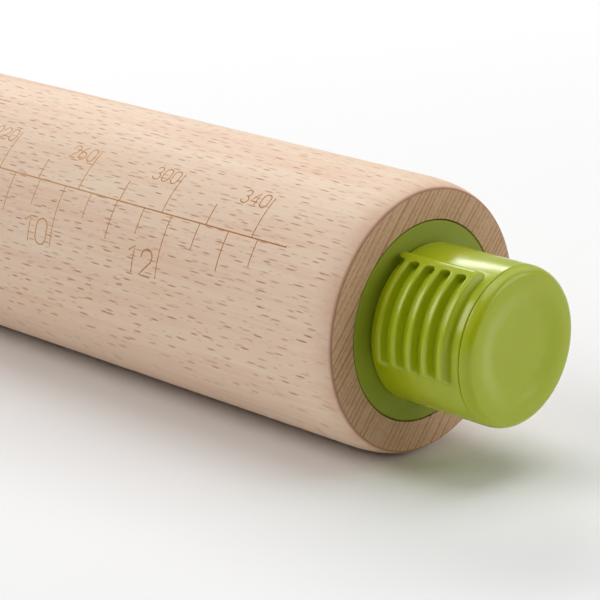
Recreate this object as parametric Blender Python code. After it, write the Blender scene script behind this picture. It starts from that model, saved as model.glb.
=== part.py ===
"""Rolling pin with a free-turning beech barrel and two screw-on stub knobs.

The pin lies along X, Z is up, and the origin is on the surface it rests on, under the middle.
Each end is modelled once, outwards from the barrel's end face, and placed at both ends.
A knob unscrews along its hub's neck, which makes room for a spacing ring to run on the neck.
"""

import math

import bmesh
import bpy
from mathutils import Matrix

# Running and seating clearance between two pieces, and how far a cutter runs past what it cuts
GAP = 0.0003
OVERRUN = 0.004

# Wooden barrel, whose ends are rounded off as a quarter ellipse
BARREL_LENGTH = 0.400
BARREL_RADIUS = 0.043
BARREL_ROUND_LENGTH = 0.012
BARREL_ROUND_DROP = 0.0026
BARREL_BORE_CLEARANCE = 0.001

# Steel rod through the barrel, stepped down at both ends
ROD_RADIUS = 0.006
ROD_END_RADIUS = 0.004
ROD_TIP_LENGTH = 0.0015

# Hub: flange flush with the wood, journal inside the barrel, neck with a ring seat and a thread
FLANGE_RADIUS = 0.03115
FLANGE_THICKNESS = 0.006
FLANGE_EDGE = 0.0004
JOURNAL_RADIUS = 0.013
JOURNAL_LENGTH = 0.028
NECK_LENGTH = 0.028
RING_SEAT_LENGTH = 0.0085
SOCKET_FLOOR = 0.008
SOCKET_CLEARANCE = 0.0016

# Coarse knob thread: the neck carries it, and a tap of the same form cuts it in the knob.
# Its crest lies one step below the ring seat, so that a ring slides over it.
THREAD_STEP = 0.0008
THREAD_DEPTH = 0.0016
THREAD_PITCH = 0.004
THREAD_CREST = 0.0015
THREAD_FLANK = 0.0006

# Two slots along the neck, which keep the keyed washer from turning
SLOT_WIDTH = 0.0046
SLOT_DEPTH = 0.0031

# Bearing sleeve and thrust washer between the barrel and the hub
SLEEVE_WALL = 0.0043
THRUST_WASHER_RADIUS = 0.026
THRUST_WASHER_THICKNESS = 0.001

# Pin through the journal and the rod, and the nut and washer on the rod's end
PIN_RADIUS = 0.0015
PIN_SETBACK = 0.001
PIN_DEPTH = 0.014
ROD_WASHER_RADIUS = 0.008
ROD_WASHER_THICKNESS = 0.0016
NUT_WIDTH = 0.013
NUT_HEIGHT = 0.0068

# Keyed washer: its boss meets a ring, and its rim is held in the knob's foot
KEYED_BOSS_WIDTH = 0.0038
KEYED_RIM_WIDTH = 0.0011
KEYED_BOSS_HEIGHT = 0.0011
KEYED_RIM_THICKNESS = 0.0014

# Knob shell
KNOB_RADIUS = 0.0247
KNOB_LENGTH = 0.0348
KNOB_FOOT = 0.0005
KNOB_FOOT_WALL = 0.0022
KNOB_WALL = 0.0045
KNOB_THREAD_LENGTH = 0.010
KNOB_THREAD_RELIEF = 0.0015
KNOB_SEAT_CLEARANCE = 0.0006

# Grip pads on the knob: ribs that run round it and hang from one bar along it
PAD_COUNT = 2
PAD_HEIGHT = 0.0027
PAD_CHAMFER = 0.0006
PAD_ROOT = 0.0012
PAD_TOP_DEG = 25.6
PAD_FOOT_DEG = 102.0
BAR_START = 0.0007
BAR_WIDTH = 0.0024
RIB_START = 0.0037
RIB_PITCH = 0.0061
RIB_WIDTH = 0.003
PAD_END_MARGIN = 0.0025

# Dished cap that closes the knob's outer end; the dish falls from the rim in an S and then is flat
CAP_HEIGHT = 0.0037
CAP_ROUND = 0.0032
CAP_RIM_WIDTH = 0.0022
CAP_DISH_DEPTH = 0.0011
CAP_DISH_RUN = 0.0085
CAP_SKIRT_LENGTH = 0.006
CAP_SKIRT_WALL = 0.0018
CAP_FLOOR = 0.0018

# Facets
BARREL_SIDES = 56
HUB_SIDES = 40
SMALL_SIDES = 24
THREAD_SIDES = 24
ROUND_STEPS = 5
RIM_STEPS = 4
DISH_STEPS = 4
RIB_STEPS = 7
HEX = 6
MERGE = 0.000001

# Places along one end, measured outwards from the barrel's end face
flange_back = -FLANGE_THICKNESS
thrust_washer_back = flange_back - GAP - THRUST_WASHER_THICKNESS
counterbore_floor = thrust_washer_back - GAP
journal_end = flange_back - JOURNAL_LENGTH
sleeve_end = journal_end + GAP
bearing_bore_floor = journal_end - GAP
rod_shoulder = journal_end - GAP
pin_place = flange_back - PIN_DEPTH
rod_washer_front = SOCKET_FLOOR + GAP + ROD_WASHER_THICKNESS
nut_back = rod_washer_front + GAP
nut_front = nut_back + NUT_HEIGHT
rod_tip = nut_front + ROD_TIP_LENGTH
keyed_step = GAP + KEYED_BOSS_HEIGHT
keyed_front = keyed_step + KEYED_RIM_THICKNESS
foot_lip_end = keyed_step - GAP
recess_end = keyed_front + GAP
web_start = RING_SEAT_LENGTH + KNOB_THREAD_RELIEF
web_end = web_start + KNOB_THREAD_LENGTH
cap_start = KNOB_LENGTH + GAP
cap_end = KNOB_LENGTH + CAP_HEIGHT
rib_room = KNOB_LENGTH - PAD_END_MARGIN - RIB_START - RIB_WIDTH
rib_count = 1 + math.floor(rib_room / RIB_PITCH)
pad_end = RIB_START + RIB_PITCH * (rib_count - 1) + RIB_WIDTH

# Radii from the knob's foot inwards to the neck: the washer's recess, rim, boss and bore, the
# ring seat, the thread and the slots
keyed_recess_radius = KNOB_RADIUS - KNOB_FOOT_WALL
keyed_rim_radius = keyed_recess_radius - GAP
keyed_boss_radius = keyed_rim_radius - KEYED_RIM_WIDTH
keyed_bore_radius = keyed_boss_radius - KEYED_BOSS_WIDTH
ring_seat_radius = keyed_bore_radius - GAP
thread_radius = ring_seat_radius - THREAD_STEP
slot_floor_radius = ring_seat_radius - SLOT_DEPTH

# Other radii that follow from a neighbour
flange_seat_radius = FLANGE_RADIUS + GAP
sleeve_bore_radius = JOURNAL_RADIUS + GAP
sleeve_radius = sleeve_bore_radius + SLEEVE_WALL
bearing_bore_radius = sleeve_radius + GAP
barrel_bore_radius = ROD_RADIUS + BARREL_BORE_CLEARANCE
rod_hole_radius = ROD_END_RADIUS + GAP
socket_radius = NUT_WIDTH / math.sqrt(3) + SOCKET_CLEARANCE
knob_seat_radius = ring_seat_radius + KNOB_SEAT_CLEARANCE
cavity_radius = KNOB_RADIUS - KNOB_WALL
skirt_radius = cavity_radius - GAP
pad_radius = KNOB_RADIUS + PAD_HEIGHT


def hole(radius, sides):
    """Corner radius of a hole with this many sides whose flats lie at the given radius."""
    return radius / math.cos(math.pi / sides)


def arc(centre, radii, start_deg, end_deg, steps):
    """Points of a quarter or part ellipse in the plane of an outline, both ends included."""
    points = []
    for step in range(steps + 1):
        angle = math.radians(start_deg + (end_deg - start_deg) * step / steps)
        along = centre[0] + radii[0] * math.cos(angle)
        points.append((along, centre[1] + radii[1] * math.sin(angle)))
    return points


def mesh_object(name, bm):
    """Merges doubles, turns the faces outwards and gives the shape an object of its own."""
    bmesh.ops.remove_doubles(bm, verts=bm.verts, dist=MERGE)
    bmesh.ops.recalc_face_normals(bm, faces=bm.faces)
    mesh = bpy.data.meshes.new(name)
    bm.to_mesh(mesh)
    bm.free()
    shape = bpy.data.objects.new(name, mesh)
    bpy.context.scene.collection.objects.link(shape)
    return shape


def turned(name, outline, sides):
    """Turns an outline of (along X, radius) points once round the X axis.

    An outline that starts and ends on the axis stays open there; any other is closed.
    The first corner lies half a facet off the top, so the lowest facet is flat on a table.
    """
    bm = bmesh.new()
    corners = [bm.verts.new((along, 0, radius)) for along, radius in outline]
    edges = [bm.edges.new(pair) for pair in zip(corners, corners[1:])]
    if outline[0][1] > 0:
        edges.append(bm.edges.new((corners[-1], corners[0])))
    half_facet = Matrix.Rotation(math.pi / sides, 4, "X")
    bmesh.ops.transform(bm, matrix=half_facet, verts=corners)
    bmesh.ops.spin(
        bm,
        geom=corners + edges,
        cent=(0, 0, 0),
        axis=(1, 0, 0),
        angle=math.tau,
        steps=sides,
        use_merge=True,
    )
    return mesh_object(name, bm)


def ring(name, back, front, inner, outer, sides):
    """A plain tube or washer between two places along X."""
    bore = hole(inner, sides)
    return turned(name, [(back, bore), (back, outer), (front, outer), (front, bore)], sides)


def rod(name, back, front, radius, sides):
    """A plain solid cylinder along X."""
    return turned(name, [(back, 0), (back, radius), (front, radius), (front, 0)], sides)


def box(name, low, high):
    """A block between two corners."""
    bm = bmesh.new()
    size = [top - bottom for bottom, top in zip(low, high)]
    middle = [(top + bottom) / 2 for bottom, top in zip(low, high)]
    bmesh.ops.create_cube(bm, size=1, matrix=Matrix.Translation(middle) @ Matrix.Diagonal((*size, 1)))
    return mesh_object(name, bm)


def arc_block(name, section, start_deg, end_deg, steps):
    """Sweeps a closed (along X, radius) section part of the way round the X axis.

    Angles are counted from the top towards -Y.
    """
    bm = bmesh.new()
    corners = [bm.verts.new((along, 0, radius)) for along, radius in section]
    face = bm.faces.new(corners)
    start = Matrix.Rotation(math.radians(start_deg), 4, "X")
    bmesh.ops.transform(bm, matrix=start, verts=corners)
    bmesh.ops.spin(
        bm,
        geom=[face, *face.edges, *face.verts],
        cent=(0, 0, 0),
        axis=(1, 0, 0),
        angle=math.radians(end_deg - start_deg),
        steps=steps,
    )
    return mesh_object(name, bm)


def threaded(name, back, front, radius, clearance):
    """A screw-threaded cylinder along X, right-handed, with flat ends.

    With a clearance it is the tap for the mating thread: larger all round, with wider crests.
    """
    crest = THREAD_CREST + 2 * clearance
    root = THREAD_PITCH - crest - 2 * THREAD_FLANK
    high = radius + clearance
    low = high - THREAD_DEPTH
    if clearance > 0:
        high = hole(high, THREAD_SIDES)
        low = hole(low, THREAD_SIDES)
    tooth = [
        (0, low),
        (root / 2, low),
        (root / 2 + THREAD_FLANK, high),
        (root / 2 + THREAD_FLANK + crest, high),
        (THREAD_PITCH - root / 2, low),
        (THREAD_PITCH, low),
    ]
    first_turn = math.floor(back / THREAD_PITCH) - 1
    turns = math.ceil(front / THREAD_PITCH) + 1 - first_turn
    bm = bmesh.new()
    shift = first_turn * THREAD_PITCH
    corners = [bm.verts.new((shift + along, 0, height)) for along, height in tooth]
    edges = [bm.edges.new(pair) for pair in zip(corners, corners[1:])]
    bmesh.ops.spin(
        bm,
        geom=corners + edges,
        cent=(0, 0, 0),
        axis=(1, 0, 0),
        dvec=(THREAD_PITCH / THREAD_SIDES, 0, 0),
        angle=math.tau * turns,
        steps=THREAD_SIDES * turns,
    )
    bmesh.ops.remove_doubles(bm, verts=bm.verts, dist=MERGE)
    for place, way in ((back, -1), (front, 1)):
        bmesh.ops.bisect_plane(
            bm,
            geom=[*bm.verts, *bm.edges, *bm.faces],
            dist=MERGE,
            plane_co=(place, 0, 0),
            plane_no=(way, 0, 0),
            clear_outer=True,
        )
    open_edges = [edge for edge in bm.edges if edge.is_boundary]
    bmesh.ops.holes_fill(bm, edges=open_edges, sides=0)
    return mesh_object(name, bm)


def combine(body, tool, operation):
    """Joins the tool to the body or cuts it away, and leaves the body as one plain mesh."""
    tool.hide_render = True
    tool.display_type = "WIRE"
    step = body.modifiers.new(tool.name, "BOOLEAN")
    step.operation = operation
    step.solver = "EXACT"
    step.object = tool
    bpy.context.view_layer.update()
    graph = bpy.context.evaluated_depsgraph_get()
    result = bpy.data.meshes.new_from_object(body.evaluated_get(graph))
    old = body.data
    body.modifiers.clear()
    body.data = result
    bpy.data.meshes.remove(old)
    tool_mesh = tool.data
    bpy.data.objects.remove(tool)
    bpy.data.meshes.remove(tool_mesh)


def material(name, colour, roughness, metallic=0.0):
    """A plain Principled material."""
    made = bpy.data.materials.new(name)
    made.use_nodes = True
    shader = made.node_tree.nodes["Principled BSDF"]
    shader.inputs["Base Color"].default_value = (*colour, 1)
    shader.inputs["Roughness"].default_value = roughness
    shader.inputs["Metallic"].default_value = metallic
    made.diffuse_color = (*colour, 1)
    return made


def finish(piece, look, parent, name):
    """Names a piece, gives it its material and its place, and shades its round faces smooth."""
    piece.name = name
    piece.data.name = name
    piece.data.materials.clear()
    piece.data.materials.append(look)
    piece.data.shade_smooth()
    piece.data.set_sharp_from_angle(angle=math.radians(30))
    piece.parent = parent


def both_ends(piece, look, ends, name):
    """Places a piece at the right end, and a copy of it at the left end."""
    copy = piece.copy()
    copy.data = piece.data.copy()
    bpy.context.scene.collection.objects.link(copy)
    finish(piece, look, ends["right"], f"{name}_right")
    finish(copy, look, ends["left"], f"{name}_left")


def empty(name, place, parent=None, turn=0.0):
    """An empty that carries pieces."""
    made = bpy.data.objects.new(name, None)
    made.location = place
    made.rotation_euler = (0, 0, turn)
    made.parent = parent
    bpy.context.scene.collection.objects.link(made)
    return made


def barrel():
    """The wooden barrel: rounded ends, a seat for each flange, bearing bores and a rod bore."""
    half = BARREL_LENGTH / 2
    outer = hole(BARREL_RADIUS, BARREL_SIDES)
    centre = (half - BARREL_ROUND_LENGTH, outer - BARREL_ROUND_DROP)
    end = [
        *arc(centre, (BARREL_ROUND_LENGTH, BARREL_ROUND_DROP), 90, 0, ROUND_STEPS),
        (half, hole(flange_seat_radius, BARREL_SIDES)),
        (half + counterbore_floor, hole(flange_seat_radius, BARREL_SIDES)),
        (half + counterbore_floor, hole(bearing_bore_radius, BARREL_SIDES)),
        (half + bearing_bore_floor, hole(bearing_bore_radius, BARREL_SIDES)),
        (half + bearing_bore_floor, hole(barrel_bore_radius, BARREL_SIDES)),
    ]
    other_end = [(-along, radius) for along, radius in reversed(end)]
    return turned("barrel", end + other_end, BARREL_SIDES)


def spindle_rod():
    """The rod that ties both hubs together."""
    half = BARREL_LENGTH / 2
    end = [
        (half + rod_shoulder, ROD_RADIUS),
        (half + rod_shoulder, ROD_END_RADIUS),
        (half + rod_tip, ROD_END_RADIUS),
        (half + rod_tip, 0),
    ]
    other_end = [(-along, radius) for along, radius in reversed(end)]
    piece = turned("spindle_rod", other_end + end, SMALL_SIDES)
    for side in (-1, 1):
        place = side * (half + pin_place)
        across = upright_cylinder("pin_hole", place, PIN_RADIUS + GAP, ROD_RADIUS + OVERRUN)
        combine(piece, across, "DIFFERENCE")
    return piece


def upright_cylinder(name, place, radius, half_length):
    """A cylinder along Z that crosses the axis at this place."""
    piece = rod(name, -half_length, half_length, radius, SMALL_SIDES)
    upright = Matrix.Rotation(math.pi / 2, 4, "Y")
    piece.data.transform(Matrix.Translation((place, 0, 0)) @ upright)
    return piece


def end_hub():
    """Flange, journal and threaded neck in one moulding, bored for the rod and its nut."""
    piece = turned(
        "end_hub",
        [
            (journal_end, 0),
            (journal_end, JOURNAL_RADIUS),
            (flange_back, JOURNAL_RADIUS),
            (flange_back, FLANGE_RADIUS),
            (-FLANGE_EDGE, FLANGE_RADIUS),
            (0, FLANGE_RADIUS - FLANGE_EDGE),
            (0, ring_seat_radius),
            (RING_SEAT_LENGTH, ring_seat_radius),
            (RING_SEAT_LENGTH, 0),
        ],
        HUB_SIDES,
    )
    combine(piece, threaded("neck", RING_SEAT_LENGTH / 2, NECK_LENGTH, thread_radius, 0), "UNION")
    rod_hole = hole(rod_hole_radius, SMALL_SIDES)
    socket = hole(socket_radius, SMALL_SIDES)
    bore = turned(
        "bore",
        [
            (journal_end - OVERRUN, 0),
            (journal_end - OVERRUN, rod_hole),
            (SOCKET_FLOOR, rod_hole),
            (SOCKET_FLOOR, socket),
            (NECK_LENGTH + OVERRUN, socket),
            (NECK_LENGTH + OVERRUN, 0),
        ],
        SMALL_SIDES,
    )
    combine(piece, bore, "DIFFERENCE")
    for side in (-1, 1):
        floor, open_side = sorted((side * slot_floor_radius, side * (ring_seat_radius + OVERRUN)))
        slot = box(
            "slot",
            (0, floor, -SLOT_WIDTH / 2),
            (NECK_LENGTH + OVERRUN, open_side, SLOT_WIDTH / 2),
        )
        combine(piece, slot, "DIFFERENCE")
    across = upright_cylinder("pin_hole", pin_place, PIN_RADIUS + GAP, JOURNAL_RADIUS + OVERRUN)
    combine(piece, across, "DIFFERENCE")
    return piece


def rod_nut():
    """Hexagonal nut on the rod's end."""
    piece = rod("rod_nut", nut_back, nut_front, NUT_WIDTH / math.sqrt(3), HEX)
    radius = hole(rod_hole_radius, SMALL_SIDES)
    bore = rod("nut_bore", nut_back - OVERRUN, nut_front + OVERRUN, radius, SMALL_SIDES)
    combine(piece, bore, "DIFFERENCE")
    return piece


def keyed_washer():
    """Stepped washer with two tabs that slide in the neck's slots."""
    bore = hole(keyed_bore_radius, HUB_SIDES)
    piece = turned(
        "keyed_washer",
        [
            (GAP, bore),
            (GAP, keyed_boss_radius),
            (keyed_step, keyed_boss_radius),
            (keyed_step, keyed_rim_radius),
            (keyed_front, keyed_rim_radius),
            (keyed_front, bore),
        ],
        HUB_SIDES,
    )
    rooted = (keyed_bore_radius + keyed_boss_radius) / 2
    half_width = SLOT_WIDTH / 2 - GAP
    tab_back = GAP + KEYED_BOSS_HEIGHT / 2
    tab_front = keyed_front - KEYED_RIM_THICKNESS / 2
    for side in (-1, 1):
        low, high = sorted((side * (slot_floor_radius + GAP), side * rooted))
        tab = box("tab", (tab_back, low, -half_width), (tab_front, high, half_width))
        combine(piece, tab, "UNION")
    return piece


def pad_pieces(turn_deg):
    """The bar and the ribs of one grip pad, as blocks rooted in the knob's wall."""
    inner = KNOB_RADIUS - PAD_ROOT
    bar_deg = math.degrees(BAR_WIDTH / pad_radius)
    top = PAD_TOP_DEG + turn_deg

    def section(start, end):
        return [
            (start, inner),
            (start, pad_radius - PAD_CHAMFER),
            (start + PAD_CHAMFER, pad_radius),
            (end - PAD_CHAMFER, pad_radius),
            (end, pad_radius - PAD_CHAMFER),
            (end, inner),
        ]

    yield arc_block("bar", section(BAR_START, pad_end), top, top + bar_deg, 1)
    for number in range(rib_count):
        start = RIB_START + RIB_PITCH * number
        rib_top = top + bar_deg / 2
        foot = PAD_FOOT_DEG + turn_deg
        yield arc_block("rib", section(start, start + RIB_WIDTH), rib_top, foot, RIB_STEPS)


def knob_shell():
    """Ribbed shell: a recess for the keyed washer, a threaded web and a hollow behind the cap."""
    recess = hole(keyed_recess_radius, HUB_SIDES)
    lip = hole(keyed_boss_radius + GAP, HUB_SIDES)
    seat = hole(knob_seat_radius, HUB_SIDES)
    core = slot_floor_radius - THREAD_DEPTH
    cavity = hole(cavity_radius, HUB_SIDES)
    piece = turned(
        "knob_shell",
        [
            (KNOB_FOOT, lip),
            (KNOB_FOOT, KNOB_RADIUS),
            (KNOB_LENGTH, KNOB_RADIUS),
            (KNOB_LENGTH, cavity),
            (web_end, cavity),
            (web_end, core),
            (web_start, core),
            (web_start, seat),
            (recess_end, seat),
            (recess_end, recess),
            (foot_lip_end, recess),
            (foot_lip_end, lip),
        ],
        HUB_SIDES,
    )
    for number in range(PAD_COUNT):
        for block in pad_pieces(360 / PAD_COUNT * number):
            combine(piece, block, "UNION")
    tap_back = web_start - KNOB_THREAD_RELIEF / 2
    tap_front = web_end + THREAD_PITCH / 2
    combine(piece, threaded("tap", tap_back, tap_front, thread_radius, GAP), "DIFFERENCE")
    return piece


def knob_cap():
    """Cap with a rounded edge, a dished face and a skirt that plugs into the shell."""
    crown = KNOB_RADIUS - CAP_ROUND
    dish_radius = crown - CAP_RIM_WIDTH
    rounded = arc((cap_start, crown), (cap_end - cap_start, CAP_ROUND), 90, 0, RIM_STEPS)
    dish_floor = cap_end - CAP_DISH_DEPTH
    dish = []
    for step in range(DISH_STEPS + 1):
        left = (1 + math.cos(math.pi * step / DISH_STEPS)) / 2
        radius = dish_radius - CAP_DISH_RUN * step / DISH_STEPS
        dish.append((dish_floor + CAP_DISH_DEPTH * left, radius))
    inside = dish_floor - CAP_FLOOR
    skirt_end = KNOB_LENGTH - CAP_SKIRT_LENGTH
    skirt_bore = hole(skirt_radius - CAP_SKIRT_WALL, HUB_SIDES)
    outline = [
        (inside, 0),
        (inside, skirt_bore),
        (skirt_end, skirt_bore),
        (skirt_end, skirt_radius),
        (cap_start, skirt_radius),
        *rounded,
        *dish,
        (dish_floor, 0),
    ]
    return turned("knob_cap", outline, HUB_SIDES)


def main():
    for old in list(bpy.data.objects):
        bpy.data.objects.remove(old)

    beech = material("beech", (0.74, 0.55, 0.40), 0.6)
    green = material("green_satin_plastic", (0.34, 0.42, 0.045), 0.35)
    hub_green = material("green_matt_plastic", (0.25, 0.32, 0.04), 0.5)
    white = material("white_acetal", (0.86, 0.86, 0.83), 0.4)
    steel = material("bright_steel", (0.62, 0.62, 0.63), 0.3, 1.0)

    axis = empty("pin_axis", (0, 0, BARREL_RADIUS))
    half = BARREL_LENGTH / 2
    ends = {
        "right": empty("end_right", (half, 0, 0), axis),
        "left": empty("end_left", (-half, 0, 0), axis, math.pi),
    }

    finish(barrel(), beech, axis, "barrel")
    finish(spindle_rod(), steel, axis, "spindle_rod")

    sleeve = ring(
        "bearing_sleeve", sleeve_end, counterbore_floor, sleeve_bore_radius, sleeve_radius, SMALL_SIDES
    )
    both_ends(sleeve, white, ends, "bearing_sleeve")
    thrust_washer = ring(
        "thrust_washer",
        thrust_washer_back,
        flange_back - GAP,
        sleeve_bore_radius,
        THRUST_WASHER_RADIUS,
        SMALL_SIDES,
    )
    both_ends(thrust_washer, white, ends, "thrust_washer")
    both_ends(end_hub(), hub_green, ends, "end_hub")
    drive_pin = upright_cylinder("drive_pin", pin_place, PIN_RADIUS, JOURNAL_RADIUS - PIN_SETBACK)
    both_ends(drive_pin, steel, ends, "drive_pin")
    rod_washer = ring(
        "rod_washer",
        SOCKET_FLOOR + GAP,
        rod_washer_front,
        rod_hole_radius,
        ROD_WASHER_RADIUS,
        SMALL_SIDES,
    )
    both_ends(rod_washer, steel, ends, "rod_washer")
    both_ends(rod_nut(), steel, ends, "rod_nut")
    both_ends(keyed_washer(), steel, ends, "keyed_washer")
    both_ends(knob_shell(), green, ends, "knob_shell")
    both_ends(knob_cap(), green, ends, "knob_cap")


main()
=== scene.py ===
import math

import bmesh
import bpy
from mathutils import Matrix, Vector


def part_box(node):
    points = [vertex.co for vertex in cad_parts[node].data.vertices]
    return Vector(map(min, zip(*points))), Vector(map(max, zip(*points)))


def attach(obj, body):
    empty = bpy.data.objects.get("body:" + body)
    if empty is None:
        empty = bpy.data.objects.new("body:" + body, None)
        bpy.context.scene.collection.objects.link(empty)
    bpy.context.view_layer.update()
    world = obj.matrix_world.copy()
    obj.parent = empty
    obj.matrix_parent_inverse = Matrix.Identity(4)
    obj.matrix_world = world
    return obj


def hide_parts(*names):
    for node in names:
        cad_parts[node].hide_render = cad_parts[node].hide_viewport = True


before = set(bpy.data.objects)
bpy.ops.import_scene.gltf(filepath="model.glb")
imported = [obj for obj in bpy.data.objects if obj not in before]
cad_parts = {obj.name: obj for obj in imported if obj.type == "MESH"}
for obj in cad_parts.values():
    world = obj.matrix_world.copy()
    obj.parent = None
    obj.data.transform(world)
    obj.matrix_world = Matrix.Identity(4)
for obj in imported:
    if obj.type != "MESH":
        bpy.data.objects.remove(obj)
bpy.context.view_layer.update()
print("Frame loaded:", len(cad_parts), "nodes")

# Places that everything is set out from, in metres
barrelLow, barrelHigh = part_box("barrel")
axisHeight = (barrelLow.z + barrelHigh.z) / 2
barrelRadius = (barrelHigh.z - barrelLow.z) / 2
barrelEnd = barrelHigh.x
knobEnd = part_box("knob_cap_right")[1].x - barrelEnd

# Clearance between two pieces, how far a cutter runs past its cut, and the merging distance
gap = 0.0003
overrun = 0.004
weld = 0.000002

# Each end is modelled outwards along +X from the barrel's end face, and placed at both ends
pinAxis = Matrix.Translation((0, 0, axisHeight))
ends = {
    "right": pinAxis @ Matrix.Translation((barrelEnd, 0, 0)),
    "left": pinAxis @ Matrix.Translation((-barrelEnd, 0, 0)) @ Matrix.Rotation(math.pi, 4, "Z"),
}


# Modelling helpers

# Rounds the corners of an outline: a corner is (x, y) or (x, y, rounding)
def rounded(corners, steps=5):
    points = []
    for number, corner in enumerate(corners):
        here = Vector(corner[:2])
        rounding = corner[2] if len(corner) > 2 else 0
        if not rounding:
            points.append(tuple(here))
            continue
        before = (Vector(corners[number - 1][:2]) - here).normalized()
        after = (Vector(corners[(number + 1) % len(corners)][:2]) - here).normalized()
        half = before.angle(after) / 2
        centre = here + (before + after).normalized() * rounding / math.sin(half)
        start = here + before * rounding / math.tan(half) - centre
        finish = here + after * rounding / math.tan(half) - centre
        turn = start.angle_signed(finish)
        for step in range(steps + 1):
            points.append(tuple(centre + Matrix.Rotation(-turn * step / steps, 2) @ start))
    return points


# Points of part of an ellipse, both ends included
def arcPoints(centre, radii, startDeg, endDeg, steps):
    points = []
    for step in range(steps + 1):
        angle = math.radians(startDeg + (endDeg - startDeg) * step / steps)
        points.append((centre[0] + radii[0] * math.cos(angle), centre[1] + radii[1] * math.sin(angle)))
    return points


# Spins an (x, radius) outline once round the X axis; one that starts on the axis stays open there
def turned(outline, steps):
    bm = bmesh.new()
    corners = [bm.verts.new((x, 0, radius)) for x, radius in outline]
    edges = [bm.edges.new(pair) for pair in zip(corners, corners[1:])]
    if outline[0][1] > 0:
        edges.append(bm.edges.new((corners[-1], corners[0])))
    bmesh.ops.spin(
        bm, geom=corners + edges, cent=(0, 0, 0), axis=(1, 0, 0), angle=math.tau, steps=steps, use_merge=True
    )
    return bm


def newObject(name, data):
    made = bpy.data.objects.new(name, data)
    bpy.context.scene.collection.objects.link(made)
    return made


def discard(made):
    mesh = made.data
    bpy.data.objects.remove(made)
    bpy.data.meshes.remove(mesh)


# Merges doubles, turns the faces outwards and gives the mesh an object of its own
def objectFrom(bm, name):
    bmesh.ops.remove_doubles(bm, verts=bm.verts, dist=weld)
    bmesh.ops.recalc_face_normals(bm, faces=bm.faces)
    mesh = bpy.data.meshes.new(name)
    bm.to_mesh(mesh)
    bm.free()
    return newObject(name, mesh)


# Cuts a bmesh along a plane, and clears what lies beyond it if asked to
def cutAcross(bm, place, direction, clear=False):
    bmesh.ops.bisect_plane(
        bm, geom=[*bm.verts, *bm.edges, *bm.faces], dist=weld,
        plane_co=place, plane_no=direction, clear_outer=clear,
    )


# Joins a tool to a body, or cuts it away, and leaves the body as one plain mesh
def combine(body, tool, operation):
    step = body.modifiers.new(tool.name, "BOOLEAN")
    step.operation = operation
    step.solver = "EXACT"
    step.object = tool
    graph = bpy.context.evaluated_depsgraph_get()
    result = bpy.data.meshes.new_from_object(body.evaluated_get(graph))
    body.modifiers.clear()
    oldMesh, body.data = body.data, result
    bpy.data.meshes.remove(oldMesh)
    discard(tool)


# Smooth shading that stays sharp where two faces meet at more than sharpDeg
def smoothShaded(piece, sharpDeg=32):
    piece.data.shade_smooth()
    piece.data.set_sharp_from_angle(angle=math.radians(sharpDeg))


# Places a finished shape at the right end and a copy of it at the left end, each on its own body
def atBothEnds(shape, name, node, body, finish):
    smoothShaded(shape)
    for side, place in ends.items():
        mesh = shape.data.copy()
        mesh.name = f"{name}_{side}"
        mesh.transform(place)
        mesh.materials.clear()
        mesh.materials.append(finish)
        piece = newObject(f"{name}_{side}", mesh)
        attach(piece, body.format(side=side))
        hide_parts(f"{node}_{side}")
    discard(shape)


# Material helpers

# A new material, with its node tree and its shader
def newMaterial(name, roughness=0.5, metallic=0.0, specular=0.5):
    made = bpy.data.materials.new(name)
    made.use_nodes = True
    shader = made.node_tree.nodes["Principled BSDF"]
    shader.inputs["Roughness"].default_value = roughness
    shader.inputs["Metallic"].default_value = metallic
    shader.inputs["Specular IOR Level"].default_value = specular
    return made, made.node_tree, shader


def addNode(tree, kind, place=(0, 0), **settings):
    node = tree.nodes.new(kind)
    node.location = place
    for name, value in settings.items():
        setattr(node, name, value)
    return node


# Sets plain values on a node's inputs and links the rest. An input goes by its name, or by its
# number, as i0 and so on, where its name has a space or isn't its own.
def feed(tree, node, **inputs):
    for name, value in inputs.items():
        socket = node.inputs[int(name[1:])] if name[0] == "i" and name[1:].isdigit() else node.inputs[name]
        if isinstance(value, bpy.types.NodeSocket):
            tree.links.new(value, socket)
        else:
            socket.default_value = value
    return node


def calculate(tree, operation, *values, place=(0, 0)):
    node = addNode(tree, "ShaderNodeMath", place, operation=operation)
    feed(tree, node, **{f"i{number}": value for number, value in enumerate(values)})
    return node.outputs[0]


def vectorMath(tree, operation, first, second, place=(0, 0)):
    node = addNode(tree, "ShaderNodeVectorMath", place, operation=operation)
    return feed(tree, node, i0=first, i1=second).outputs[0]


# Noise with features of about one unit; coordinates divided by a size give it that size
def noiseValue(tree, vector, detail, place=(0, 0), roughness=0.5):
    node = addNode(tree, "ShaderNodeTexNoise", place, noise_dimensions="3D")
    return feed(tree, node, Vector=vector, Scale=1.0, Detail=detail, Roughness=roughness).outputs["Fac"]


def mixColours(tree, factor, first, second, place=(0, 0)):
    node = addNode(tree, "ShaderNodeMix", place, data_type="RGBA")
    feed(tree, node, i0=factor, i6=first, i7=second)
    return node.outputs[2]


def mapRange(tree, value, low, high, toLow=0.0, toHigh=1.0, smooth=True, place=(0, 0)):
    node = addNode(tree, "ShaderNodeMapRange", place)
    node.interpolation_type = "SMOOTHSTEP" if smooth else "LINEAR"
    feed(tree, node, i0=value, i1=low, i2=high, i3=toLow, i4=toHigh)
    return node.outputs[0]


def newGroup(name, inputs, outputs):
    tree = bpy.data.node_groups.new(name, "ShaderNodeTree")
    for socketName, kind, value in inputs:
        socket = tree.interface.new_socket(socketName, in_out="INPUT", socket_type=kind)
        if value is not None:
            socket.default_value = value
    for socketName, kind in outputs:
        tree.interface.new_socket(socketName, in_out="OUTPUT", socket_type=kind)
    start = addNode(tree, "NodeGroupInput", (-900, 0))
    finish = addNode(tree, "NodeGroupOutput", (900, 0))
    return tree, start.outputs, finish


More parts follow.
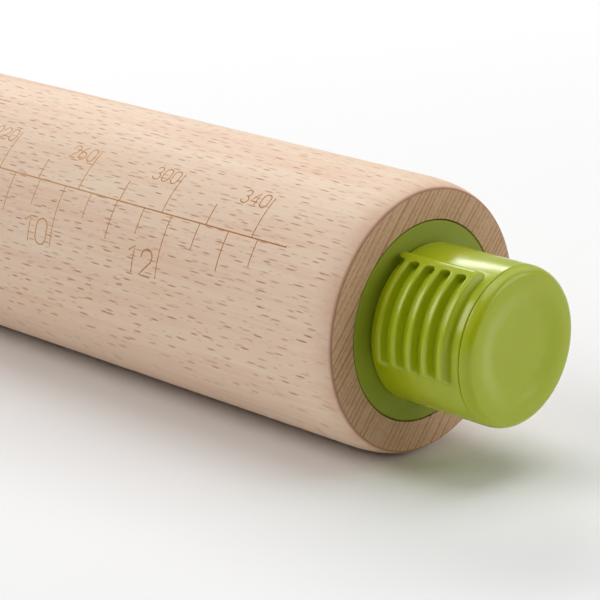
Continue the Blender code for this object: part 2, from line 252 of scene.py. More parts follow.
def useGroup(tree, group, place=(0, 0), **inputs):
    node = addNode(tree, "ShaderNodeGroup", place, node_tree=group)
    return feed(tree, node, **inputs).outputs


# Surface effects, each one node group that several materials use

# Short dark dashes where the wood's rays come out at the surface, strewn over X and Y. They run
# straight through along Z, as rays do, so the spacing's Z has no effect.
def dashGroup():
    tree, given, result = newGroup(
        "rayDashes",
        [
            ("Vector", "NodeSocketVector", None),
            ("Spacing", "NodeSocketVector", (0.009, 0.0022, 1.0)),
            ("Length", "NodeSocketFloat", 0.005),
            ("Width", "NodeSocketFloat", 0.0005),
            ("Share", "NodeSocketFloat", 0.9),
        ],
        [("Mask", "NodeSocketFloat")],
    )
    cells = vectorMath(tree, "DIVIDE", given["Vector"], given["Spacing"], (-700, 0))
    lattice = addNode(tree, "ShaderNodeTexVoronoi", (-500, 0), feature="F1", voronoi_dimensions="2D")
    feed(tree, lattice, Vector=cells, Scale=1.0, Randomness=0.9)
    chance = addNode(tree, "ShaderNodeSeparateColor", (-300, -300))
    feed(tree, chance, Color=lattice.outputs["Color"])
    # how far each point lies from its dash, counted in half lengths and half widths
    away = vectorMath(tree, "SUBTRACT", cells, lattice.outputs["Position"], (-300, 0))
    metres = vectorMath(tree, "MULTIPLY", away, given["Spacing"], (-100, 0))
    reach = mapRange(tree, chance.outputs[2], 0.0, 1.0, 0.6, 1.0, smooth=False, place=(-300, -500))
    length = calculate(tree, "MULTIPLY", given["Length"], reach, place=(-100, -500))
    halves = addNode(tree, "ShaderNodeCombineXYZ", (300, -300))
    feed(
        tree, halves,
        X=calculate(tree, "DIVIDE", 2.0, length, place=(100, -300)),
        Y=calculate(tree, "DIVIDE", 2.0, given["Width"], place=(100, -500)),
    )
    shares = vectorMath(tree, "MULTIPLY", metres, halves.outputs[0], (300, 0))
    distance = addNode(tree, "ShaderNodeVectorMath", (450, 0), operation="LENGTH")
    feed(tree, distance, i0=shares)
    ellipse = mapRange(tree, distance.outputs["Value"], 1.2, 0.5, place=(600, 0))
    present = calculate(tree, "LESS_THAN", chance.outputs[0], given["Share"], place=(100, 250))
    strength = mapRange(tree, chance.outputs[1], 0.0, 1.0, 0.45, 1.0, place=(100, 450))
    kept = calculate(tree, "MULTIPLY", present, strength, place=(300, 300))
    feed(tree, result, Mask=calculate(tree, "MULTIPLY", ellipse, kept, place=(750, 0)))
    return tree


# Long soft streaks along X, from a noise stretched that way
def streakGroup():
    tree, given, result = newGroup(
        "longStreaks",
        [
            ("Vector", "NodeSocketVector", None),
            ("Length", "NodeSocketFloat", 0.06),
            ("Width", "NodeSocketFloat", 0.0012),
        ],
        [("Value", "NodeSocketFloat")],
    )
    size = addNode(tree, "ShaderNodeCombineXYZ", (-700, -200))
    feed(tree, size, X=given["Length"], Y=given["Width"], Z=given["Width"])
    cells = vectorMath(tree, "DIVIDE", given["Vector"], size.outputs[0], (-500, 0))
    noise = noiseValue(tree, cells, 3.0, (-250, 0), roughness=0.6)
    feed(tree, result, Value=mapRange(tree, noise, 0.3, 0.7, smooth=False))
    return tree


# Growth rings of a thick log: nearly straight bands across the vector's Z, uneven in width and depth
def ringGroup():
    tree, given, result = newGroup(
        "growthRings",
        [
            ("Vector", "NodeSocketVector", None),
            ("Spacing", "NodeSocketFloat", 0.0014),
            ("Wander", "NodeSocketFloat", 0.004),
        ],
        [("Value", "NodeSocketFloat")],
    )
    split = addNode(tree, "ShaderNodeSeparateXYZ", (-850, 200))
    feed(tree, split, Vector=given["Vector"])
    moved = split.outputs["Z"]
    # two sizes of waviness: the size of a wave, and its share of the wander
    waves = (((0.4, 0.06, 0.009), 1.0), ((0.4, 0.06, 0.002), 0.2))
    for row, (size, share) in enumerate(waves):
        cells = vectorMath(tree, "DIVIDE", given["Vector"], size, (-850, -250 * row))
        noise = noiseValue(tree, cells, 0.0, (-650, -250 * row))
        reach = calculate(tree, "MULTIPLY", given["Wander"], share, place=(-450, -250 * row - 100))
        moved = calculate(tree, "MULTIPLY_ADD", noise, reach, moved, place=(-300, -100 * row))
    turns = calculate(tree, "DIVIDE", moved, given["Spacing"], place=(-100, 0))
    within = calculate(tree, "FRACT", turns, place=(100, 0))
    # a ring darkens towards its late wood and ends at once, and some rings are darker than others
    slow = calculate(tree, "POWER", within, 1.6, place=(300, 0))
    late = mapRange(tree, within, 1.0, 0.88, place=(300, -250))
    each = addNode(tree, "ShaderNodeTexWhiteNoise", (100, -450), noise_dimensions="1D")
    feed(tree, each, W=calculate(tree, "FLOOR", turns, place=(-100, -450)))
    depth = mapRange(tree, each.outputs["Value"], 0.0, 1.0, 0.3, 1.0, smooth=False, place=(300, -450))
    band = calculate(tree, "MULTIPLY", slow, late, place=(500, 0))
    feed(tree, result, Value=calculate(tree, "MULTIPLY", band, depth, place=(700, 0)))
    return tree


# Fine unevenness of a moulded surface: a soft mottling and a sand-like texture
def mouldGroup():
    tree, given, result = newGroup(
        "mouldedSkin",
        [
            ("Vector", "NodeSocketVector", None),
            ("Mottle Size", "NodeSocketFloat", 0.006),
            ("Grain Size", "NodeSocketFloat", 0.00025),
        ],
        [("Mottle", "NodeSocketFloat"), ("Grain", "NodeSocketFloat")],
    )
    for row, (output, detail) in enumerate((("Mottle", 3.0), ("Grain", 1.0))):
        cells = addNode(tree, "ShaderNodeVectorMath", (-500, -300 * row), operation="SCALE")
        inverse = calculate(tree, "DIVIDE", 1.0, given[f"{output} Size"], place=(-700, -300 * row))
        feed(tree, cells, i0=given["Vector"], Scale=inverse)
        noise = noiseValue(tree, cells.outputs[0], detail, (-250, -300 * row))
        feed(tree, result, **{output: noise})
    return tree


rayDashes = dashGroup()
longStreaks = streakGroup()
growthRings = ringGroup()
mouldedSkin = mouldGroup()
print("Shader groups built")


# Object coordinates, moved so that the pin's axis is at the origin
def pinVector(tree, turn=(0, 0, 0)):
    source = addNode(tree, "ShaderNodeTexCoord", (-1500, 0))
    node = addNode(tree, "ShaderNodeMapping", (-1300, 0), vector_type="TEXTURE")
    feed(tree, node, Vector=source.outputs["Object"], Location=(0, 0, axisHeight), Rotation=turn)
    return node.outputs["Vector"]


# Streaks of a size, which is their length and width
def streaked(tree, vector, size, place):
    return useGroup(tree, longStreaks, place, Vector=vector, Length=size[0], Width=size[1])["Value"]


def bump(tree, height, strength, distance):
    node = addNode(tree, "ShaderNodeBump", (200, -500))
    feed(tree, node, Strength=strength, Distance=distance, Height=height)
    return node.outputs["Normal"]


# Beech, sanded and bare. The log's rings lie square to the direction ringDeg, counted from the top
# towards the rule. The rays run in that direction, so the rule's side shows their ends as dashes.
beech = {
    "cream": (0.89, 0.725, 0.565, 1),
    "peach": (0.84, 0.595, 0.425, 1),
    "pink": (0.785, 0.50, 0.345, 1),
    "dash": (0.42, 0.13, 0.05, 1),
    "endPale": (0.70, 0.48, 0.30, 1),
    "endDark": (0.41, 0.17, 0.08, 1),
    "arris": (0.34, 0.13, 0.06, 1),
    "ringDeg": 50.6, "ringSpacing": 0.0017, "ringShare": 1.1,
    # streaks along the grain: their size, and how much they add to the tone
    "streaks": ((0.05, 0.0016), 0.45), "clouds": ((0.12, 0.012), 0.45), "hairs": ((0.02, 0.0004), 0.35),
    "toneBase": -0.15, "blush": (0.2, 0.006), "poreSize": (0.003, 0.0012, 0.00025),
    # dashes: their spacing, length, width and chance
    "coarseDashes": ((0.0085, 0.0020, 1.0), 0.0054, 0.00046, 0.9),
    "fineDashes": ((0.007, 0.0017, 1.0), 0.003, 0.00036, 0.8),
    "fineShare": 0.5,
    # the dashes' strength at two distances along the rays, as shares of the barrel's radius
    "fadeRange": (0.1, 0.7), "dashStrength": (0.225, 0.75),
    # where each stretch of the rounded edge lies, from 0 on the side to 1 on the end face
    "roundRange": (0.15, 0.85), "arrisRange": (0.72, 0.92), "endRange": (0.955, 0.985),
    "edgeStrength": 0.85,
    "roughRange": (0.52, 0.64), "specular": 0.35, "bumpStrength": 0.25, "bumpDepth": 0.0001, "dashSink": 0.6,
}


def beechMaterial(values):
    made, tree, shader = newMaterial("beech", specular=values["specular"])
    wood = pinVector(tree, turn=(math.radians(values["ringDeg"]), 0, 0))

    # the side: streaks of several sizes, between a pale tone and a deep one that is pinker in places
    tone = values["toneBase"]
    grain = {}
    for row, kind in enumerate(("streaks", "clouds", "hairs")):
        size, share = values[kind]
        grain[kind] = streaked(tree, wood, size, (-900, 300 - 200 * row))
        tone = calculate(tree, "MULTIPLY_ADD", grain[kind], share, tone, place=(150 * row - 600, 200))
    blush = streaked(tree, wood, values["blush"], (-1100, -100))
    warmth = mapRange(tree, blush, 0.2, 0.8, place=(-300, 400))
    deep = mixColours(tree, warmth, values["peach"], values["pink"], place=(-100, 400))
    side = mixColours(tree, tone, values["cream"], deep, place=(0, 300))

    # where the wood is cut along its rays, on the top and below, the dashes spread out and fade
    dashes = []
    for row, kind in enumerate(("coarseDashes", "fineDashes")):
        spacing, length, width, chance = values[kind]
        dashes.append(useGroup(
            tree, rayDashes, (-900, -300 - 250 * row),
            Vector=wood, Spacing=spacing, Length=length, Width=width, Share=chance,
        )["Mask"])
    coarse, fine = dashes
    split = addNode(tree, "ShaderNodeSeparateXYZ", (-700, -800))
    feed(tree, split, Vector=wood)
    across = calculate(tree, "ABSOLUTE", split.outputs["Z"], place=(-500, -800))
    across = calculate(tree, "DIVIDE", across, barrelRadius, place=(-400, -800))
    strength = mapRange(tree, across, *values["fadeRange"], *values["dashStrength"], place=(-300, -800))
    marks = calculate(tree, "MULTIPLY_ADD", fine, values["fineShare"], coarse, place=(-300, -300))
    marks = calculate(tree, "MULTIPLY", marks, strength, place=(-150, -300))
    side = mixColours(tree, marks, side, values["dash"], place=(200, 300))

    # end grain: rings, crossed by the wood's fine pores
    rings = useGroup(tree, growthRings, (-900, 500), Vector=wood, Spacing=values["ringSpacing"])["Value"]
    poreCells = vectorMath(tree, "DIVIDE", wood, values["poreSize"], (-800, 800))
    pores = noiseValue(tree, poreCells, 2.0, (-600, 800))
    poreTone = mapRange(tree, pores, 0.35, 0.7, 0.0, 0.4, place=(-400, 800))
    endTone = calculate(tree, "MULTIPLY_ADD", rings, values["ringShare"], poreTone, place=(-200, 800))
    endGrain = mixColours(tree, endTone, values["endPale"], values["endDark"], place=(0, 800))

    # the attribute is 0 on the side, rises round the rounded edge and is 1 on the end face
    towardsEnd = addNode(tree, "ShaderNodeAttribute", (-200, 1050), attribute_name="towardsEnd")
    share = towardsEnd.outputs["Fac"]
    onEnd = mapRange(tree, share, *values["endRange"], place=(100, 1050))
    onArris = mapRange(tree, share, *values["arrisRange"], 0.0, values["edgeStrength"], place=(100, 1250))
    onRound = mapRange(tree, share, *values["roundRange"], 0.0, values["edgeStrength"], place=(100, 1450))
    side = mixColours(tree, onRound, side, deep, place=(300, 700))
    side = mixColours(tree, onArris, side, values["arris"], place=(450, 600))
    colour = mixColours(tree, onEnd, side, endGrain, place=(600, 500))

    relief = calculate(tree, "MULTIPLY_ADD", marks, -values["dashSink"], grain["hairs"], place=(0, -500))
    normal = bump(tree, relief, values["bumpStrength"], values["bumpDepth"])
    rough = mapRange(tree, grain["hairs"], 0.0, 1.0, *values["roughRange"], place=(200, -150))
    feed(tree, shader, i0=colour, Normal=normal, Roughness=rough)
    return made


# Lines burnt into the wood: a warm brown that darkens towards the end with the high numbers,
# between the two places along the pin in darkRange
burn = {
    "pale": (0.68, 0.37, 0.14, 1), "dark": (0.50, 0.20, 0.055, 1), "darkRange": (0.06, 0.18),
    "hairs": ((0.004, 0.0003), 0.45), "roughness": 0.8, "specular": 0.15,
}


def burnMaterial(values):
    made, tree, shader = newMaterial("burntLine", values["roughness"], specular=values["specular"])
    along = pinVector(tree)
    split = addNode(tree, "ShaderNodeSeparateXYZ", (-900, 0))
    feed(tree, split, Vector=along)
    depth = mapRange(tree, split.outputs["X"], *values["darkRange"], place=(-600, 0))
    size, share = values["hairs"]
    hairs = streaked(tree, along, size, (-900, -300))
    tone = calculate(tree, "MULTIPLY_ADD", hairs, share, depth, place=(-300, 0))
    feed(tree, shader, i0=mixColours(tree, tone, values["pale"], values["dark"]))
    return made


# Moulded plastics: satin green on the knob, matt green on the hub, and the white of the bearings.
# The hub's green is darker than the knob's: painted shade for its flange, which faces away from the
# light, while its matt roughness is its own. Their roughness wanders within its range.
plastics = {
    "knob": {
        "name": "greenSatinPlastic", "base": (0.425, 0.502, 0.006, 1), "shade": (0.405, 0.478, 0.004, 1),
        "roughRange": (0.18, 0.26), "specular": 0.5, "grainStrength": 0.5, "grainDepth": 0.000002,
    },
    # the hub's darker green is painted shade for the flange; its higher roughness is real
    "hub": {
        "name": "greenMattPlasticPaintedShade", "base": (0.285, 0.345, 0.014, 1), "shade": (0.265, 0.32, 0.010, 1),
        "roughRange": (0.51, 0.59), "specular": 0.35, "grainStrength": 0.5, "grainDepth": 0.000012,
    },
    "acetal": {
        "name": "whiteAcetal", "base": (0.87, 0.87, 0.84, 1), "shade": (0.82, 0.82, 0.79, 1),
        "roughRange": (0.36, 0.46), "specular": 0.5, "grainStrength": 0.3, "grainDepth": 0.000008,
    },
}


def plasticMaterial(values):
    made, tree, shader = newMaterial(values["name"], specular=values["specular"])
    skin = useGroup(tree, mouldedSkin, (-900, 0), Vector=pinVector(tree))
    colour = mixColours(tree, skin["Mottle"], values["base"], values["shade"], place=(-300, 0))
    rough = mapRange(tree, skin["Mottle"], 0.3, 0.7, *values["roughRange"], place=(-300, -250))
    normal = bump(tree, skin["Grain"], values["grainStrength"], values["grainDepth"])
    feed(tree, shader, i0=colour, Roughness=rough, Normal=normal)
    return made


# Hidden hardware: bright steel with turning marks, which run round the axis
steel = {
    "bright": (0.66, 0.66, 0.67, 1), "dull": (0.56, 0.56, 0.57, 1), "roughRange": (0.24, 0.38),
    "marks": (0.00015, 0.008), "markStrength": 0.2, "markDepth": 0.00001,
}


def steelMaterial(values):
    made, tree, shader = newMaterial("turnedSteel", metallic=1.0)
    marks = streaked(tree, pinVector(tree), values["marks"], (-900, 0))
    colour = mixColours(tree, marks, values["bright"], values["dull"], place=(-300, 0))
    rough = mapRange(tree, marks, 0.0, 1.0, *values["roughRange"], place=(-300, -250))
    normal = bump(tree, marks, values["markStrength"], values["markDepth"])
    feed(tree, shader, i0=colour, Roughness=rough, Normal=normal)
    return made


beechFinish = beechMaterial(beech)
burnFinish = burnMaterial(burn)
knobFinish = plasticMaterial(plastics["knob"])
hubFinish = plasticMaterial(plastics["hub"])
acetalFinish = plasticMaterial(plastics["acetal"])
steelFinish = steelMaterial(steel)
print("Materials built")


# Wooden barrel. Each end is rounded off as a quarter ellipse, long and shallow, that ends in an arris.
barrel = {
    "roundLength": 0.012, "roundDrop": 0.0026, "roundSteps": 20,
    "seatRadius": 0.03145, "seatDepth": 0.0076, "seatEdge": 0.0003,
    "bearingRadius": 0.0179, "bearingDepth": 0.0343, "boreRadius": 0.007, "steps": 180, "bays": 20,
}


def buildBarrel(values):
    floor = barrelEnd - values["seatDepth"]
    bearingFloor = barrelEnd - values["bearingDepth"]
    roundStart = barrelEnd - values["roundLength"]
    roundRadii = (values["roundLength"], values["roundDrop"])
    roundCentre = (roundStart, barrelRadius - values["roundDrop"])
    end = rounded([
        *arcPoints(roundCentre, roundRadii, 90, 0, values["roundSteps"]),
        (barrelEnd, values["seatRadius"], values["seatEdge"]),
        (floor, values["seatRadius"]),
        (floor, values["bearingRadius"]),
        (bearingFloor, values["bearingRadius"]),
        (bearingFloor, values["boreRadius"]),
    ], steps=4)
    otherEnd = [(-x, radius) for x, radius in reversed(end)]
    bay = 2 * roundStart / values["bays"]
    side = [(bay * number - roundStart, barrelRadius) for number in range(1, values["bays"])]
    piece = objectFrom(turned(end + otherEnd + side, values["steps"]), "barrelWood")
    piece.data.transform(pinAxis)
    share = piece.data.attributes.new("towardsEnd", "FLOAT", "POINT")
    for number, vertex in enumerate(piece.data.vertices):
        drop = barrelRadius - math.hypot(vertex.co.y, vertex.co.z - axisHeight)
        along = max(0.0, abs(vertex.co.x) - roundStart) / values["roundLength"]
        left = max(0.0, 1 - drop / values["roundDrop"])
        share.data[number].value = 1 - math.atan2(left, along) / (math.pi / 2)
    smoothShaded(piece)
    piece.data.materials.append(beechFinish)
    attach(piece, "barrel")
    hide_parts("barrel")


buildBarrel(barrel)
print("Barrel built")


# Rule burnt into the barrel: millimetres above its line and inches below. All in metres; places
# along the rule are counted from its zero, and places across it from its line, downwards. No
# stretch of a line is longer than bendStep, so that it bends with the wood.
rule = {
    "zero": -0.17956, "lineDeg": 53.8, "length": 0.355, "lineWidth": 0.00044, "proud": 0.00004,
    "mmStep": 0.020, "mmEvery": 2, "mmShort": 0.0074, "mmLong": 0.01467, "mmLast": 0.340,
    "mmDigit": (0.0030, 0.0050), "mmDigitTop": -0.0153, "mmMargin": 0.0014, "mmStroke": 0.0004,
    "inch": 0.0254, "inchShort": 0.00873, "inchMedium": 0.01291, "inchLong": 0.02062, "inchLast": 13.5,
    "inchDigit": (0.0052, 0.0085), "inchDigitTop": 0.0123, "inchMargin": 0.0024, "inchStroke": 0.00052,
    "digitPitchShare": 1.35, "roundSteps": 10, "bendStep": 0.003, "sharpDeg": 60,
}


# Pen strokes of each digit, as shares of its width and height, from its upper left corner
def digitStrokes(steps):
    return {
        "0": [
            arcPoints((0.5, 0.3), (0.5, 0.3), 180, 360, steps)
            + arcPoints((0.5, 0.7), (0.5, 0.3), 0, 180, steps)
            + [(0.0, 0.3)],
        ],
        "1": [[(0.21, 0.21), (0.67, 0.0), (0.67, 1.0)]],
        "2": [arcPoints((0.5, 0.29), (0.47, 0.29), -190, 35, steps) + [(0.0, 1.0), (1.0, 1.0)]],
        "3": [
            arcPoints((0.5, 0.235), (0.42, 0.235), -165, 90, steps),
            arcPoints((0.5, 0.735), (0.5, 0.265), -90, 165, steps),
        ],
        "4": [[(0.74, 1.0), (0.74, 0.0), (0.0, 0.74), (1.0, 0.74)]],
        "6": [
            arcPoints((0.92, 0.68), (0.92, 0.68), -100, -180, steps),
            arcPoints((0.5, 0.7), (0.5, 0.3), 0, 360, 2 * steps),
        ],
        "8": [
            arcPoints((0.5, 0.24), (0.42, 0.24), 90, 450, 2 * steps),
            arcPoints((0.5, 0.74), (0.5, 0.26), -90, 270, 2 * steps),
        ],
    }


# Straight marks and pen strokes of the whole rule, as flat lines of (along, across) points. Every
# second millimetre mark is long and numbered. There is an inch mark each half inch: those of
# whole inches are longer, and those of even inches are the longest and numbered.
def ruleStrokes(values):
    lines = [([(0, 0), (values["length"], 0)], values["lineWidth"])]
    for number in range(round(values["mmLast"] / values["mmStep"]) + 1):
        along = number * values["mmStep"]
        isLong = number % values["mmEvery"] == 1
        reach = values["mmLong"] if isLong else values["mmShort"]
        lines.append(([(along, 0), (along, -reach)], values["lineWidth"]))
        if isLong:
            lines += numberStrokes(values, "mm", along, str(round(along * 1000)))
    reaches = (values["inchLong"], values["inchShort"], values["inchMedium"], values["inchShort"])
    for halves in range(int(2 * values["inchLast"]) + 1):
        along = halves * values["inch"] / 2
        lines.append(([(along, 0), (along, reaches[halves % 4])], values["lineWidth"]))
        if halves and halves % 4 == 0:
            lines += numberStrokes(values, "inch", along, str(halves // 2))
    return lines


# A number stands to the left of its mark
def numberStrokes(values, scale, along, text):
    width, height = values[scale + "Digit"]
    pitch = width * values["digitPitchShare"]
    strokes = digitStrokes(values["roundSteps"])
    lines = []
    for place, digit in enumerate(reversed(text)):
        left = along - values[scale + "Margin"] - width - pitch * place
        for stroke in strokes[digit]:
            points = [(left + x * width, values[scale + "DigitTop"] + y * height) for x, y in stroke]
            lines.append((points, values[scale + "Stroke"]))
    return lines


# Splits a line so that no piece of it is too long to bend with the wood
def dividedLine(points, most):
    result = [points[0]]
    for start, finish in zip(points, points[1:]):
        parts = max(1, math.ceil(math.dist(start, finish) / most))
        for part in range(1, parts + 1):
            result.append(tuple(a + (b - a) * part / parts for a, b in zip(start, finish)))
    return result


# A flattened tube along each line, wrapped on the barrel; lines of one width share a curve
def buildRule(values):
    pens = {}
    for points, width in ruleStrokes(values):
        pen = pens.get(width)
        if pen is None:
            pen = pens[width] = bpy.data.curves.new("rulePen", "CURVE")
            pen.dimensions = "3D"
            pen.bevel_depth = width / 2
            pen.bevel_resolution = 1
            pen.use_fill_caps = True
        path = dividedLine(points, values["bendStep"])
        spline = pen.splines.new("POLY")
        spline.points.add(len(path) - 1)
        for point, (along, across) in zip(spline.points, path):
            point.co = (along, across, 0, 1)
    bm = bmesh.new()
    for pen in pens.values():
        holder = newObject("rulePen", pen)
        graph = bpy.context.evaluated_depsgraph_get()
        flat = bpy.data.meshes.new_from_object(holder.evaluated_get(graph))
        bm.from_mesh(flat)
        bpy.data.objects.remove(holder)
        bpy.data.meshes.remove(flat)
        bpy.data.curves.remove(pen)
    for vertex in bm.verts:
        along, across, height = vertex.co
        angle = math.radians(values["lineDeg"]) + across / barrelRadius
        radius = barrelRadius + math.copysign(min(abs(height), values["proud"]), height)
        x = values["zero"] + along
        vertex.co = (x, -radius * math.sin(angle), axisHeight + radius * math.cos(angle))
    bmesh.ops.recalc_face_normals(bm, faces=bm.faces)
    mesh = bpy.data.meshes.new("burntRule")
    bm.to_mesh(mesh)
    bm.free()
    piece = newObject("burntRule", mesh)
    smoothShaded(piece, values["sharpDeg"])
    mesh.materials.append(burnFinish)
    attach(piece, "barrel")


buildRule(rule)
print("Rule burnt in")


# Coarse screw thread shared by the hub's neck and the knob
thread = {"radius": 0.0162, "depth": 0.0016, "pitch": 0.004, "crest": 0.0015, "flank": 0.0006, "steps": 64}


# A right-handed screw between two flat ends; with a clearance it is the tap for the mating thread
def screw(values, back, front, clearance):
    crest = values["crest"] + 2 * clearance
    root = values["pitch"] - crest - 2 * values["flank"]
    high = values["radius"] + clearance
    low = high - values["depth"]
    tooth = [
        (0, low),
        (root / 2, low),
        (root / 2 + values["flank"], high),
        (root / 2 + values["flank"] + crest, high),
        (values["pitch"] - root / 2, low),
        (values["pitch"], low),
    ]
    firstTurn = math.floor(back / values["pitch"]) - 1
    turns = math.ceil(front / values["pitch"]) + 1 - firstTurn
    bm = bmesh.new()
    shift = firstTurn * values["pitch"]
    corners = [bm.verts.new((shift + x, 0, radius)) for x, radius in tooth]
    edges = [bm.edges.new(pair) for pair in zip(corners, corners[1:])]
    bmesh.ops.spin(
        bm, geom=corners + edges, cent=(0, 0, 0), axis=(1, 0, 0), angle=math.tau * turns,
        dvec=(values["pitch"] / values["steps"], 0, 0), steps=values["steps"] * turns,
    )
    bmesh.ops.remove_doubles(bm, verts=bm.verts, dist=weld)
    for place, way in ((back, -1), (front, 1)):
        cutAcross(bm, (place, 0, 0), (way, 0, 0), clear=True)
    bmesh.ops.holes_fill(bm, edges=[edge for edge in bm.edges if edge.is_boundary], sides=0)
    return objectFrom(bm, "screw")


# Block between two corners
def block(low, high):
    bm = bmesh.new()
    size = [top - bottom for bottom, top in zip(low, high)]
    middle = [(top + bottom) / 2 for bottom, top in zip(low, high)]
    bmesh.ops.create_cube(bm, size=1, matrix=Matrix.Translation(middle) @ Matrix.Diagonal((*size, 1)))
    return objectFrom(bm, "block")


# A cylinder along Z that crosses the axis at x
def crossHole(x, radius, halfLength):
    outline = [(-halfLength, 0), (-halfLength, radius), (halfLength, radius), (halfLength, 0)]
    hole = turned(outline, steps=48)
    bmesh.ops.transform(hole, matrix=Matrix.Rotation(math.pi / 2, 4, "Y"), verts=hole.verts)
    bmesh.ops.translate(hole, vec=(x, 0, 0), verts=hole.verts)
    return objectFrom(hole, "crossHole")


# Hub at each end: flange, journal drilled for its pin, ring seat and threaded neck
hub = {
    "flangeRadius": 0.03115, "flangeThickness": 0.006, "flangeEdge": 0.0005,
    "journalRadius": 0.013, "journalLength": 0.028, "journalEdge": 0.0006,
    "pinPlace": 0.020, "pinHole": 0.0018,
    "seatRadius": 0.017, "seatLength": 0.0085, "seatFillet": 0.0005, "neckLength": 0.028,
    "rodHole": 0.0043, "socketRadius": 0.0091, "socketFloor": 0.008,
    "slotWidth": 0.0046, "slotFloor": 0.0139, "steps": 180,
}


def buildHub(values):
    back = -values["flangeThickness"]
    journalEnd = back - values["journalLength"]
    body = objectFrom(turned(rounded([
        (journalEnd, 0),
        (journalEnd, values["journalRadius"], values["journalEdge"]),
        (back, values["journalRadius"]),
        (back, values["flangeRadius"], values["flangeEdge"]),
        (0, values["flangeRadius"], values["flangeEdge"]),
        (0, values["seatRadius"], values["seatFillet"]),
        (values["seatLength"], values["seatRadius"], values["flangeEdge"]),
        (values["seatLength"], 0),
    ]), values["steps"]), "hubBody")
    combine(body, screw(thread, values["seatLength"] / 2, values["neckLength"], 0), "UNION")
    bore = objectFrom(turned([
        (journalEnd - overrun, 0),
        (journalEnd - overrun, values["rodHole"]),
        (values["socketFloor"], values["rodHole"]),
        (values["socketFloor"], values["socketRadius"]),
        (values["neckLength"] + overrun, values["socketRadius"]),
        (values["neckLength"] + overrun, 0),
    ], steps=64), "bore")
    combine(body, bore, "DIFFERENCE")
    half = values["slotWidth"] / 2
    for way in (-1, 1):
        low, high = sorted((way * values["slotFloor"], way * (values["seatRadius"] + overrun)))
        slot = block((0, low, -half), (values["neckLength"] + overrun, high, half))
        combine(body, slot, "DIFFERENCE")
    pinHole = crossHole(-values["pinPlace"], values["pinHole"], values["journalRadius"] + overrun)
    combine(body, pinHole, "DIFFERENCE")
    atBothEnds(body, "endHub", "end_hub", "spindle", hubFinish)


buildHub(hub)
print("Hubs built")


# Stepped washer under each knob, keyed to the neck's slots
washer = {
    "bore": 0.0173, "boss": 0.0211, "rim": 0.0222, "bossHeight": 0.0011, "rimThickness": 0.0014,
    "edge": 0.0003, "steps": 128,
}


def buildWasher(values):
    step = gap + values["bossHeight"]
    front = step + values["rimThickness"]
    body = objectFrom(turned(rounded([
        (gap, values["bore"], values["edge"] / 2),
        (gap, values["boss"], values["edge"]),
        (step, values["boss"]),
        (step, values["rim"], values["edge"]),
        (front, values["rim"], values["edge"]),
        (front, values["bore"]),
    ], steps=3), values["steps"]), "washerBody")
    half = hub["slotWidth"] / 2 - gap
    tabBack = gap + values["bossHeight"] / 2
    tabFront = front - values["rimThickness"] / 2
    for way in (-1, 1):
        middle = way * (values["bore"] + values["boss"]) / 2
        low, high = sorted((way * (hub["slotFloor"] + gap), middle))
        combine(body, block((tabBack, low, -half), (tabFront, high, half)), "UNION")
    atBothEnds(body, "keyedWasher", "keyed_washer", "washer_{side}", steelFinish)


buildWasher(washer)
print("Washers built")


# Knob shell with two grip pads, each a comb of ribs that hang from a bar
knob = {
    "radius": 0.0247, "length": 0.0348, "foot": 0.0005, "endEdge": 0.0004, "footEdge": 0.0006,
    "cavity": 0.0202, "recess": 0.0225, "lip": 0.0214, "lipEnd": 0.0011, "recessEnd": 0.0031,
    "neckBore": 0.0176, "webStart": 0.010, "webEnd": 0.020, "core": 0.0123, "steps": 180,
}
pad = {
    "count": 2, "height": 0.0027, "root": 0.0012, "draft": 0.0006, "bend": 0.0011,
    "topDeg": 25.4, "footDeg": 101.5, "barStart": 0.0013, "barWidth": 0.0026,
    "ribs": 5, "ribStart": 0.0043, "ribPitch": 0.0061, "ribWidth": 0.0022,
    "grooveRound": 0.0017, "innerRound": 0.0011, "outerRound": 0.0021, "footRound": 0.0010,
    "barEndRound": 0.0011, "cornerSteps": 6, "crestRound": 0.0006, "crestSteps": 4,
}


# The comb's outline in flat (x, round the knob) points, grown on all sides by what its walls lean out
def combOutline(values, grow):
    crestRadius = knob["radius"] + values["height"]
    half = math.radians(values["footDeg"] - values["topDeg"]) / 2 * crestRadius
    barTop = -half - grow
    barFoot = -half + values["barWidth"] + grow
    foot = half + grow
    barLeft = values["barStart"] - grow
    padEnd = values["ribStart"] + values["ribPitch"] * (values["ribs"] - 1) + values["ribWidth"] + grow
    corners = [
        (barLeft, barTop, values["barEndRound"] + grow),
        (padEnd, barTop, values["outerRound"] + grow),
    ]
    for number in reversed(range(values["ribs"])):
        left = values["ribStart"] + values["ribPitch"] * number - grow
        right = left + values["ribWidth"] + 2 * grow
        inner = (values["grooveRound"] if number else values["innerRound"]) - grow
        corners.append((right, foot, values["footRound"] + grow))
        corners.append((left, foot, values["footRound"] + grow))
        corners.append((left, barFoot, inner))
        if number:
            corners.append((right - values["ribPitch"], barFoot, inner))
    corners.append((barLeft, barFoot, values["barEndRound"] + grow))
    return rounded(corners, values["cornerSteps"])


